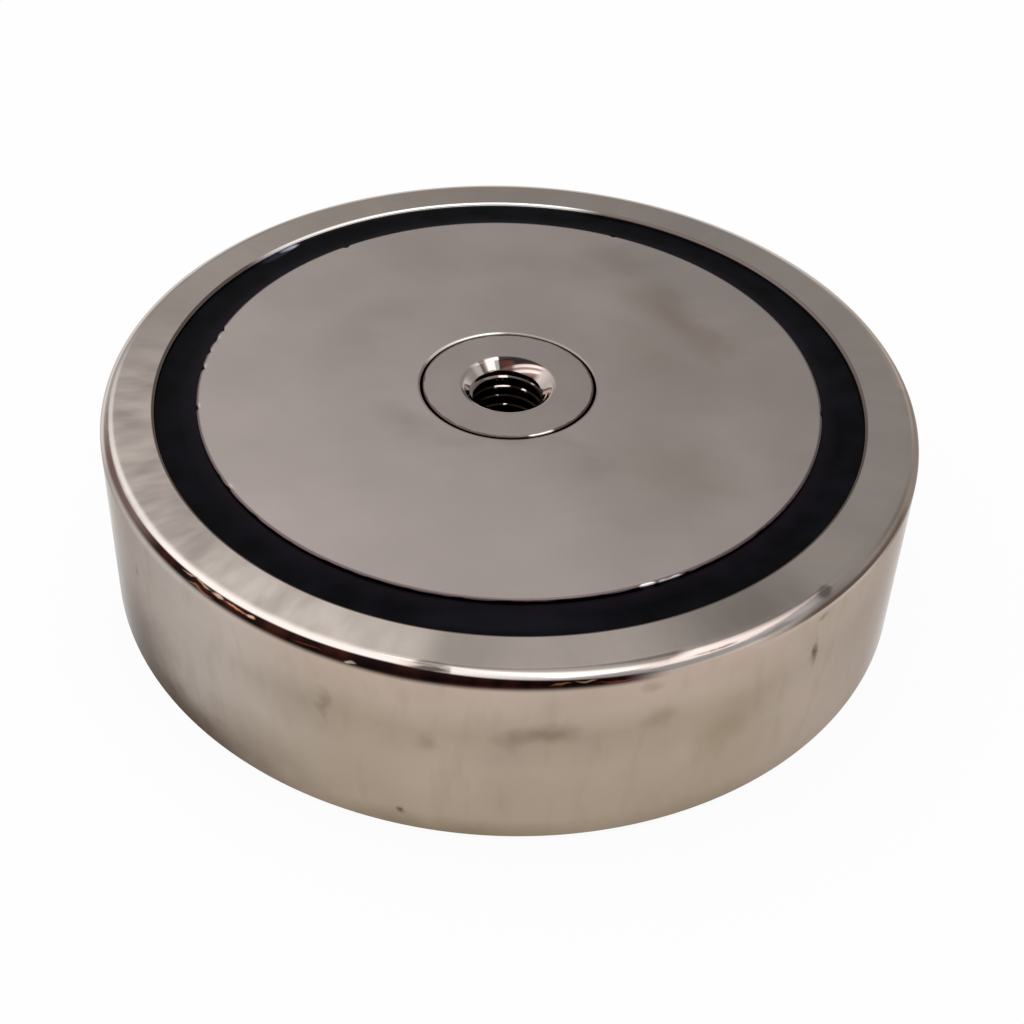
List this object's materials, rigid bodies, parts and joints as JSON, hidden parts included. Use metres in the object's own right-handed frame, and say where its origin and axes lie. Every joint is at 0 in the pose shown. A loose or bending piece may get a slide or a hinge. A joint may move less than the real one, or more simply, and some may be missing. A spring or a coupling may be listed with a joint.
{
  "type": "pot magnet",
  "caption": "Round nickel-plated steel pot with a flush ring magnet, a recessed black potting ring and a tapped, countersunk centre bush.",
  "frame": {"origin": "centre of the pot's flat back face, which the magnet stands on", "axes": "+Z along the axis of the pot and of its thread, out of the magnetic working face; X and Y are free, because the part is turned"},
  "size_m": [0.12, 0.12, 0.03],
  "materials": {
    "pot_nickel": "turned steel with satin nickel plating, lightly stained",
    "magnet_nickel": "satin nickel plating on sintered neodymium magnet",
    "black_potting": "cast black epoxy, glossy",
    "bush_nickel": "turned steel with satin nickel plating, bright in the countersink and thread"
  },
  "bodies": {
    "root": {"pot": "pot_nickel", "ring_magnet": "magnet_nickel", "potting_ring": "black_potting", "threaded_bush": "bush_nickel"}
  },
  "joints": []
}
